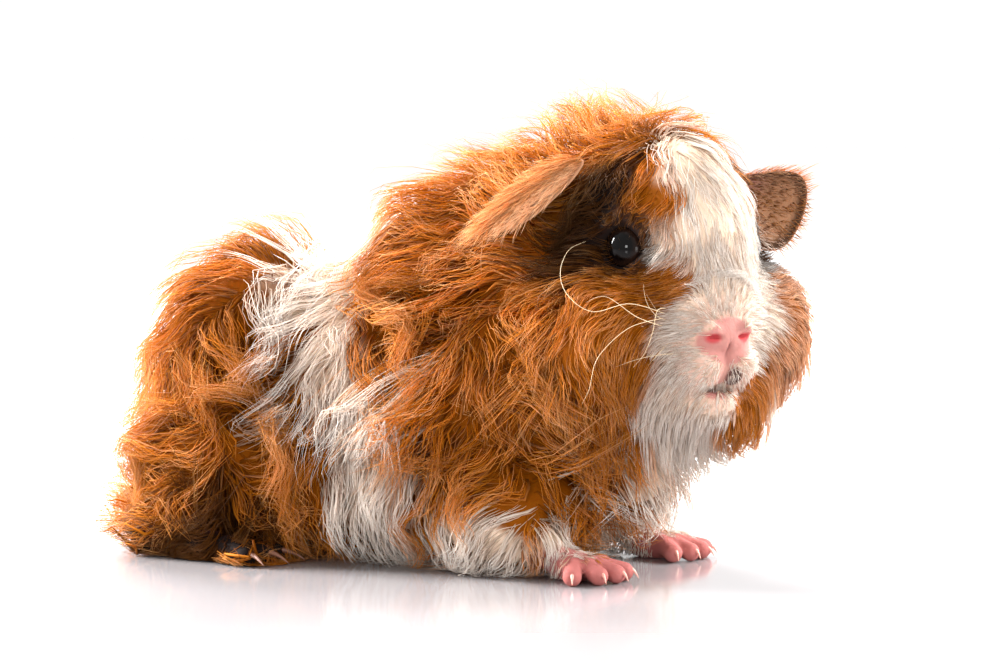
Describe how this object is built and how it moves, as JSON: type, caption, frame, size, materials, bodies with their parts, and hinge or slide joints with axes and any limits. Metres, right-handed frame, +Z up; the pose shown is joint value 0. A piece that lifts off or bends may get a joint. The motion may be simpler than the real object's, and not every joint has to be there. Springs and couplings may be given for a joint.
{
  "type": "guinea pig",
  "caption": "Life-size young long-coated guinea pig in ginger and white, crouched on all fours with its head turned to one side.",
  "frame": {"origin": "on the floor, in the middle of the footprint of the whole animal", "axes": "+X towards the breast, +Y to the animal's left, +Z up"},
  "size_m": [0.1484, 0.0788, 0.0935],
  "materials": {
    "ginger_coat": "soft curly ginger hair, matte with a faint sheen",
    "white_coat": "soft curly white hair, matte with a faint sheen",
    "bare_skin": "bare pink skin, slightly moist",
    "eye": "wet, glossy, almost black",
    "claw": "translucent pale horn"
  },
  "bodies": {
    "root": {"head": "ginger_coat", "neck": "ginger_coat", "trunk": "white_coat", "foreleg_right": "ginger_coat", "foreleg_left": "ginger_coat", "hindleg_right": "ginger_coat", "hindleg_left": "ginger_coat", "ear_right": "ginger_coat", "ear_left": "ginger_coat", "eye_right": "eye", "eye_left": "eye", "nose": "bare_skin", "forepaw_right": "bare_skin", "forepaw_left": "bare_skin", "hindfoot_right": "bare_skin", "hindfoot_left": "bare_skin", "claw_forepaw_right_1": "claw", "claw_forepaw_right_2": "claw", "claw_forepaw_right_3": "claw", "claw_forepaw_right_4": "claw", "claw_forepaw_left_1": "claw", "claw_forepaw_left_2": "claw", "claw_forepaw_left_3": "claw", "claw_forepaw_left_4": "claw", "claw_hindfoot_right_1": "claw", "claw_hindfoot_right_2": "claw", "claw_hindfoot_right_3": "claw", "claw_hindfoot_left_1": "claw", "claw_hindfoot_left_2": "claw", "claw_hindfoot_left_3": "claw"}
  },
  "joints": []
}
